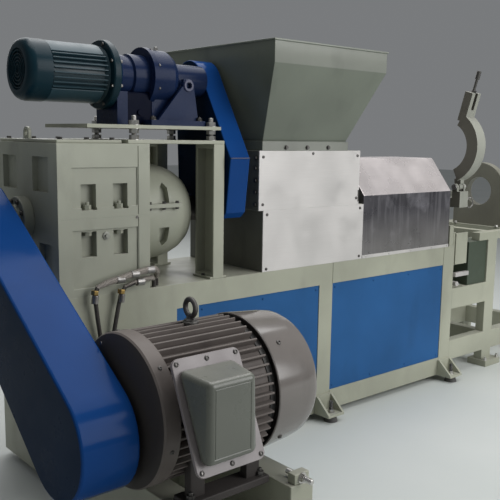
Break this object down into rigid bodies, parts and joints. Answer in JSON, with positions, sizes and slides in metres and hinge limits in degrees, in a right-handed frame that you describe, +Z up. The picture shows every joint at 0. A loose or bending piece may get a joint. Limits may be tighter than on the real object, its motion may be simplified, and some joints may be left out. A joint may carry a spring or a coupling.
{
  "type": "plastic extruder",
  "caption": "Single-screw plastic extruder with hopper, belt-fed feeder drive, sheet-covered barrel, hinged discharge clamp, belt-driven main motor and discharge stand.",
  "frame": {"origin": "middle of the outline at floor level", "axes": "+X from the drive end to the discharge end, +Y to the back, +Z up"},
  "size_m": [4.086, 1.796, 1.938],
  "materials": {
    "sage_paint": "satin",
    "blue_paint": "gloss",
    "pad_rubber": "matt",
    "bright_steel": "satin",
    "sheet_steel": "satin",
    "teal_paint": "satin",
    "navy_paint": "satin",
    "motor_grey": "satin",
    "clamp_paint": "satin",
    "green_paint": "matt",
    "hose_rubber": "matt"
  },
  "bodies": {
    "machine": {"base_frame": "sage_paint", "panel_narrow": "blue_paint", "panel_middle": "blue_paint", "panel_end": "blue_paint", "panel_rear_middle": "blue_paint", "panel_rear_end": "blue_paint", "foot_front_drive": "pad_rubber", "foot_front_middle": "pad_rubber", "foot_front_end": "pad_rubber", "foot_rear_drive": "pad_rubber", "foot_rear_middle": "pad_rubber", "foot_rear_end": "pad_rubber", "gear_case_lower": "sage_paint", "gear_case_upper": "sage_paint", "gear_lid": "sage_paint", "input_bearing_cap": "sage_paint", "input_shaft": "bright_steel", "thrust_housing": "sage_paint", "screw_neck": "sage_paint", "support_post_front": "sage_paint", "support_post_rear": "sage_paint", "under_plate": "sage_paint", "mount_plate": "sage_paint", "stud_front_left": "bright_steel", "stud_front_right": "bright_steel", "stud_rear_left": "bright_steel", "stud_rear_right": "bright_steel", "feeder_fan_cover": "teal_paint", "feeder_motor": "teal_paint", "feeder_reducer": "navy_paint", "feeder_guard": "blue_paint", "feed_box": "sage_paint", "upper_sheet": "sheet_steel", "lower_sheet": "sheet_steel", "hopper": "sage_paint", "barrel_cover": "sheet_steel", "barrel": "clamp_paint", "barrel_rest": "sage_paint", "clamp_lower": "clamp_paint", "hinge_pin": "bright_steel", "discharge_stand": "sage_paint", "bored_plate": "sage_paint", "stand_box": "green_paint", "main_motor": "motor_grey", "motor_end_bell": "motor_grey", "motor_cowl": "motor_grey", "motor_shaft": "bright_steel", "terminal_box": "motor_grey", "motor_bed": "sage_paint", "belt_guard": "blue_paint", "hose_long": "hose_rubber", "hose_short": "hose_rubber"},
    "clamp": {"clamp_upper": "clamp_paint", "clamp_bolt": "bright_steel"}
  },
  "joints": [
    {"name": "clamp_hinge", "type": "hinge", "parent": "machine", "child": "clamp", "pos_m": [1.029, 0.167, 1.212], "axis": [1, 0, 0], "range_deg": [-85, 0]}
  ]
}
